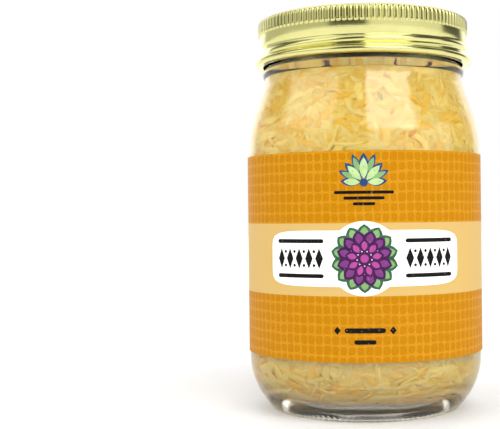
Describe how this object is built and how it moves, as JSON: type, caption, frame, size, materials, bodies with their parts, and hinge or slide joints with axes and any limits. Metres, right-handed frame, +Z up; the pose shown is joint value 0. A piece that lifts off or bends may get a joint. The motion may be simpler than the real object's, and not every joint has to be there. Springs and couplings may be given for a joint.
{
  "type": "jar of sauerkraut",
  "caption": "Shut glass jar of shredded sauerkraut with a knurled gold metal screw lid and a banded paper wrap label; stands on its base.",
  "frame": {"origin": "centre of the base, on the plane the jar stands on", "axes": "+Z up along the jar's axis; the front of the label faces -Y"},
  "size_m": [0.0812, 0.0809, 0.1336],
  "materials": {
    "glass": "clear, polished",
    "lid_metal": "gold lacquered tinplate, brushed skirt",
    "label_paper": "coated paper, satin",
    "cabbage": "moist, pale golden"
  },
  "bodies": {
    "root": {"jar": "glass", "lid": "lid_metal", "label": "label_paper", "sauerkraut": "cabbage"}
  },
  "joints": []
}
